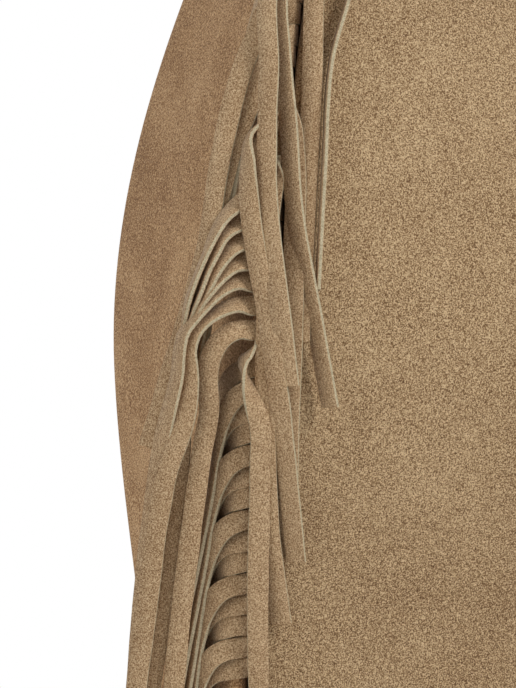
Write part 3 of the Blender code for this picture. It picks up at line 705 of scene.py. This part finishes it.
def make_lining(materials):
    bottom = SUEDE + GAP + BOARD + GAP + LINING_CLOTH / 2
    levels = heights(bottom, LINING_TOP, LINING_ROWS)
    sections = [ring_section(z, lining_inset(z), LINING_CORNER) for z in levels]
    bm = grid(sections, closed=True, floor=True)
    obj = add_piece("lining_twill", bm, [materials["lining"]])
    dress(thicken(obj, LINING_CLOTH), ["lining"])
    rows = []
    for z in heights(POCKET_BOTTOM, POCKET_TOP, POCKET_ROWS):
        inset = lining_inset(z) + LINING_CLOTH + POCKET_GAP
        flat = half_width(z) - fold_reach(True)
        row = []
        for column in range(POCKET_ACROSS + 1):
            x = POCKET_HALF_WIDTH * (2 * column / POCKET_ACROSS - 1)
            level = half_depth(z) - inset + panel_bulge(z) * swelling(x, flat) + slump(x, z, True)
            row.append(Vector((x, level, z)))
        rows.append(row)
    obj = add_piece("slip_pocket_twill", grid(rows), [materials["lining"]])
    dress(thicken(obj, LINING_CLOTH), ["slip_pocket"])


def make_facing(materials):
    inset = SUEDE + GAP
    levels = heights(LINING_TOP + FACING_GAP, BODY_HEIGHT - FACING_DROP, FACING_ROWS)
    bm = grid([ring_section(z, inset, FACING_CORNER) for z in levels], closed=True)
    obj = add_piece("top_facing_suede", bm, [materials["gusset"], materials["edge"]])
    dress(thicken(obj, SUEDE, 1), ["top_facing"])


# Strap

def bezier(points, share):
    first, second, third, last = points
    rest = 1 - share
    ends = first * rest**3 + last * share**3
    return ends + second * 3 * rest**2 * share + third * 3 * rest * share**2


def strap_path(steps):
    offset = SUEDE / 2 + GAP + SUEDE
    points = []
    for z in heights(STRAP_BOTTOM, BODY_HEIGHT, STRAP_LAP_ROWS):
        step = GAP
        slope = (half_width(z + step) - half_width(z - step)) / (2 * step)
        outward = Vector((1, 0, -slope)).normalized()
        points.append(Vector((-half_width(z) - outward.x * offset, 0, z + outward.z * offset)))
    rise = (points[-1] - points[-2]).normalized()
    crown = Vector((0, 0, STRAP_TOP))
    shoulder = points[-1] + rise * STRAP_SHOULDER
    handles = (points[-1], shoulder, crown - Vector((STRAP_CROWN, 0, 0)), crown)
    points += [bezier(handles, step / steps) for step in range(1, steps + 1)]
    for point in points:
        point.y = STRAP_LEAN * ease((point.z - BODY_HEIGHT) / (STRAP_TOP - BODY_HEIGHT))
    return points + [Vector((-point.x, point.y, point.z)) for point in reversed(points[:-1])]


def make_strap(materials):
    path = strap_path(STRAP_STEPS)
    sections = []
    for place, point in enumerate(path):
        along = (path[min(place + 1, len(path) - 1)] - path[max(place - 1, 0)]).normalized()
        across = (Vector((0, 1, 0)) - along * along.y).normalized() * STRAP_WIDTH / 2
        shares = [2 * column / STRAP_ACROSS - 1 for column in range(STRAP_ACROSS + 1)]
        sections.append([point + across * share for share in shares])
    obj = add_piece("strap_suede", grid(sections), [materials["strap"], materials["edge"]])
    dress(thicken(obj, 2 * SUEDE, 1), ["strap"])


# Fringe

def seam_point(z):
    inset = seam_inset(True)
    return Vector((-half_width(z) + inset, -half_depth(z) + inset, z))


def off_panel(z, across, lift):
    start = seam_point(z)
    x = start.x + across * ACROSS.x
    flat = half_width(z) - fold_reach(True)
    rise = panel_bulge(z) * swelling(x, flat)
    return (seam_inset(True) + SUEDE / 2 + rise + max(across, 0) * ACROSS.y) / -OUT.y + lift


def strand_height(index):
    return TOP_STRAND - STRAND_PITCH * index


def gathering_across(z):
    """How far across the gathering line lies at this height, in mm."""
    height = z / MM
    for (high, before), (low, after) in zip(GATHERING, GATHERING[1:]):
        if height >= low:
            break
    share = min(max((high - height) / (high - low), 0), 1)
    return before + (after - before) * share


def fan_lay(index):
    """A strand fans out, then falls along the gathering line to its tip."""
    points, aside = FAN_STRANDS[index]
    first, last = FAN_TURN
    lay = [(*point, first + (last - first) * ease(point[0] / FAN_TURN_DROP)) for point in points]
    drop = points[-1][0] * MM + GATHERING_STEP
    while drop < STRAND_LENGTH + GATHERING_STEP:
        drop = min(drop, STRAND_LENGTH)
        across = gathering_across(strand_height(index) - drop) + aside
        lay.append((drop / MM, across, GATHERED_OUT, last))
        drop += GATHERING_STEP
    return lay


def row_lay(index):
    """A strand of the rows arches out over the gusset, then hangs to its tip."""
    top = index < TOP_ROWS_END
    reach = TOP_REACH + (1 - TOP_REACH) * index / TOP_ROWS_END if top else 1
    fall = TOP_FALL if top else ROW_FALL
    row = ROWS[(index - ROW_STRAND) % len(ROWS)]
    close = 2 * reach - 1
    lay = [(drop, across * reach, max(out, out * close), turn) for drop, across, out, turn in row]
    drop, across, out, turn = lay[-1]
    trim = LAST_TRIM if index == STRAND_COUNT - 1 else 0
    tip = (STRAND_LENGTH - trim) / MM
    for low in ((drop + tip) / 2, tip):
        lay.append((low, across - fall * (low - drop), out, turn))
    return lay


def side_lay(index):
    """(drop, across, out, turn) along a strand that isn't on the front panel, in mm and degrees."""
    if index in SIDE_STRANDS:
        return SIDE_STRANDS[index]
    if index in FAN_STRANDS:
        return fan_lay(index)
    return row_lay(index)


def strand_waypoints(index):
    """The points that a strand runs through and its turn at each."""
    root = strand_height(index)
    points = [seam_point(root), seam_point(root) + SEAM_OUT * EXIT_LENGTH]
    if index in FRONT_STRANDS:
        last = FRONT_TURN[index]
        first = TURNED_FROM.get(index, last)
        turns = [first, first]
        for drop, across, lift in FRONT_STRANDS[index]:
            z = root - drop * MM
            out = off_panel(z, across * MM, lift * MM)
            points.append(seam_point(z) + ACROSS * across * MM + OUT * out)
            turns.append(first + (last - first) * ease(drop / TURNED_BY))
        return points, turns
    lay = side_lay(index)
    for drop, across, out, _ in lay:
        points.append(seam_point(root - drop * MM) + (ACROSS * across + OUT * out) * MM)
    turns = [turn for _, _, _, turn in lay]
    return points, turns[:1] * 2 + turns


def smooth_path(points):
    """A curve through the points, as a fine polyline."""
    spans = [(after - before).length for before, after in zip(points, points[1:])]
    slopes = [(after - before) / span for before, after, span in zip(points, points[1:], spans)]
    ends = [slopes[0]]
    for place in range(1, len(points) - 1):
        before, after = spans[place - 1], spans[place]
        ends.append((slopes[place - 1] * after + slopes[place] * before) / (before + after))
    ends.append(slopes[-1])
    path = [points[0]]
    for place, span in enumerate(spans):
        for step in range(1, CURVE_STEPS + 1):
            t = step / CURVE_STEPS
            path.append(
                points[place] * (2 * t**3 - 3 * t**2 + 1)
                + ends[place] * (t**3 - 2 * t**2 + t) * span
                + points[place + 1] * (3 * t**2 - 2 * t**3)
                + ends[place + 1] * (t**3 - t**2) * span
            )
    return path


def along_path(path, distance):
    for before, after in zip(path, path[1:]):
        span = (after - before).length
        if distance <= span:
            break
        distance -= span
    else:
        distance += span
    return before + (after - before) * distance / span, (after - before).normalized()


def path_length(path):
    return sum((after - before).length for before, after in zip(path, path[1:]))


def turn_at(points, turns, distance):
    """The turn this far along, between those of the points on either side."""
    for place in range(1, len(points)):
        span = (points[place] - points[place - 1]).length
        if distance <= span:
            return turns[place - 1] + (turns[place] - turns[place - 1]) * distance / span
        distance -= span
    return turns[-1]


def strand_frame(index, path, turn, distance):
    """The middle of a strand there, its direction, and its width's direction."""
    point, along = along_path(path, distance)
    side = 1 if index in FRONT_STRANDS else -1
    twist = FRONT_TWIST if side > 0 else SIDE_TWIST
    turned = ease((distance - TWIST_START) / twist)
    hanging = ACROSS * side * math.cos(turn) - OUT * math.sin(turn)
    across = UP * (1 - turned) + hanging * turned
    across = (across - along * across.dot(along)).normalized()
    return point, along, across


def strand_ring(index, path, turn, distance, phase):
    """One cross-section: two napped faces, cupped a little, and two cut edges with eased corners."""
    point, along, across = strand_frame(index, path, turn, distance)
    normal = along.cross(across).normalized()
    share = distance / STRAND_LENGTH
    cut = min(1, distance / NARROWED_BY)
    waver = noise.noise(Vector((distance / WAVER_LENGTH, index * WAVER_STEP, phase))) * WAVER
    width = (STRAND_PITCH * (1 - cut) + STRAND_WIDTH * cut) / 2 + waver * cut
    thick = FRINGE_SUEDE / 2
    flat = EDGE_FLAT * thick
    inner = width - EDGE_ROUND
    cup = CUP * math.sin(share * CUP_WAVES + index * CUP_STEP) * cut
    profile = (
        (-width, flat), (-inner, thick), (0, thick), (inner, thick), (width, flat),
        (width, -flat), (inner, -thick), (0, -thick), (-inner, -thick), (-width, -flat),
    )
    ring = []
    for side, high in profile:
        bend = cup * (1 - (side / width) ** 2)
        ring.append(point + across * side + normal * (high + bend))
    return ring


def add_strand(bm, index, phase):
    points, turns = strand_waypoints(index)
    path = smooth_path(points)
    length = path_length(path)
    rings = []
    for ring in range(STRAND_RINGS + 1):
        share = ring / STRAND_RINGS
        distance = length * (EVEN_RINGS * share + (1 - EVEN_RINGS) * share**2)
        turn = math.radians(turn_at(points, turns, distance))
        rings.append([bm.verts.new(co) for co in strand_ring(index, path, turn, distance, phase)])
    count = len(rings[0])
    for before, after in zip(rings, rings[1:]):
        for corner in range(count):
            following = (corner + 1) % count
            face = bm.faces.new((before[corner], before[following], after[following], after[corner]))
            face.material_index = RING_FINISH[corner]
    for ring in (rings[0], list(reversed(rings[-1]))):
        face = bm.faces.new(ring)
        face.material_index = CUT


def make_fringes(materials):
    rng = random.Random(11)
    phases = [rng.uniform(0, 40) for _ in range(STRAND_COUNT)]
    for name, side in (("fringe_left", 1), ("fringe_right", -1)):
        bm = bmesh.new()
        for index in range(STRAND_COUNT):
            add_strand(bm, index, phases[index])
        for vert in bm.verts:
            vert.co.x *= side
        obj = add_piece(name + "_suede", bm, [materials["fringe"], materials["cut"]], 60)
        dress(obj, [name])


# Stage, lights and camera

def make_stage():
    mesh = bpy.data.meshes.new("floor")
    bm = bmesh.new()
    bmesh.ops.create_circle(bm, cap_ends=True, radius=FLOOR_RADIUS, segments=96)
    bm.to_mesh(mesh)
    bm.free()
    floor = bpy.data.objects.new("floor", mesh)
    bpy.context.scene.collection.objects.link(floor)
    material, shader = new_material("white_paper_floor")
    shader.inputs["Base Color"].default_value = linear("f4f4f4")
    shader.inputs["Roughness"].default_value = 0.9
    mesh.materials.append(material)
    place = node(material, "ShaderNodeTexCoord").outputs["Object"]
    far = node(material, "ShaderNodeVectorMath", {0: place}, operation="LENGTH").outputs["Value"]
    fade = node(
        material, "ShaderNodeMapRange",
        {"Value": far, "From Min": FADE_FROM, "From Max": FADE_TO},
    )
    white = node(material, "ShaderNodeEmission", {"Strength": 1.0})
    mix = node(
        material, "ShaderNodeMixShader",
        {0: fade.outputs["Result"], 1: shader.outputs[0], 2: white.outputs[0]},
    )
    output = material.node_tree.nodes["Material Output"]
    material.node_tree.links.new(mix.outputs[0], output.inputs["Surface"])


def make_world():
    world = bpy.data.worlds.new("studio")
    world.use_nodes = True
    bpy.context.scene.world = world
    background = world.node_tree.nodes["Background"]
    background.inputs["Color"].default_value = (1, 1, 1, 1)
    path = node(world, "ShaderNodeLightPath").outputs
    seen = calculate(world, "MAXIMUM", path["Is Camera Ray"], path["Is Glossy Ray"])
    seen = calculate(world, "MAXIMUM", seen, path["Is Transmission Ray"])
    strength = node(
        world, "ShaderNodeMapRange",
        {"Value": seen, "To Min": WORLD_LIGHT, "To Max": 1.0},
    )
    world.node_tree.links.new(strength.outputs["Result"], background.inputs["Strength"])


def add_area_light(name, position, target, size, power):
    light = bpy.data.lights.new(name, "AREA")
    light.shape = "DISK"
    light.size = size
    light.energy = power
    obj = bpy.data.objects.new(name, light)
    obj.location = position
    obj.rotation_euler = (Vector(target) - Vector(position)).to_track_quat("-Z", "Y").to_euler()
    bpy.context.scene.collection.objects.link(obj)


def make_lights():
    middle = (0, 0, 0.22)
    add_area_light("key", (0.55, -1.45, 1.35), middle, 0.7, 17.0)
    add_area_light("fill", (-1.6, -0.5, 0.9), middle, 1.2, 5.0)
    add_area_light("back", (0.3, 1.6, 1.2), middle, 1.2, 8.0)


def make_camera():
    data = bpy.data.cameras.new("camera")
    data.sensor_width = SENSOR
    data.lens = SENSOR * EYE_DISTANCE / PICTURE_HEIGHT
    camera = bpy.data.objects.new("camera", data)
    bpy.context.scene.collection.objects.link(camera)
    target = ACROSS * PICTURE_MIDDLE_ACROSS + OUT * PICTURE_MIDDLE_OUT + UP * PICTURE_MIDDLE_Z
    back = OUT * math.cos(VIEW_RISE) + UP * math.sin(VIEW_RISE)
    camera.location = target + back * EYE_DISTANCE
    camera.rotation_euler = (-back).to_track_quat("-Z", "Y").to_euler()
    bpy.context.scene.camera = camera


def set_finish(node_name, material):
    """A plain frame part that shows keeps its shape and takes this finish."""
    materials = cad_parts[node_name].data.materials
    materials.clear()
    materials.append(material)


def main():
    make_camera()
    materials = {
        "panel": suede(
            "buffed_split_suede", "65462a", "a2825b", "dcc097",
            clump=0.38 * MM, contrast=4.3, brushed=0.30, relief=0.28 * MM,
        ),
        "gusset": suede(
            "brushed_split_suede", "7a5430", "b58a5b", "dcb88c",
            clump=0.45 * MM, contrast=4.4, brushed=0.75, relief=0.22 * MM,
        ),
        "fringe": suede(
            "fringe_split_suede", "765737", "b1906a", "dcc19b",
            clump=0.36 * MM, contrast=3.4, brushed=0.30, relief=0.17 * MM,
        ),
        "strap": suede(
            "strap_split_suede", "7a5a3b", "a08059", "c2a47b",
            clump=0.85 * MM, contrast=2.2, brushed=0.35, relief=0.25 * MM,
        ),
        "edge": cut_edge("panel_cut_edge", "8c7a60", "c9b899", 0.5 * MM),
        "cut": cut_edge("strand_cut_edge", "9c8e72", "d8caa9", 0.35 * MM),
        "lining": twill("lining_cotton_twill", "4a3a2b", "7a6650", 0.6 * MM),
    }
    make_body(materials)
    make_base(materials)
    make_lining(materials)
    make_facing(materials)
    make_strap(materials)
    make_fringes(materials)
    snap = nickel_plate("nickel_plated_steel", "c9c5bb")
    for name in ("snap_stud", "snap_socket"):
        set_finish(name, snap)
    set_finish("base_board", cut_edge("pressed_grey_board", "7d776b", "979081", 1.2 * MM))
    make_stage()
    make_world()
    make_lights()
    bpy.context.scene.view_settings.view_transform = "Standard"


main()
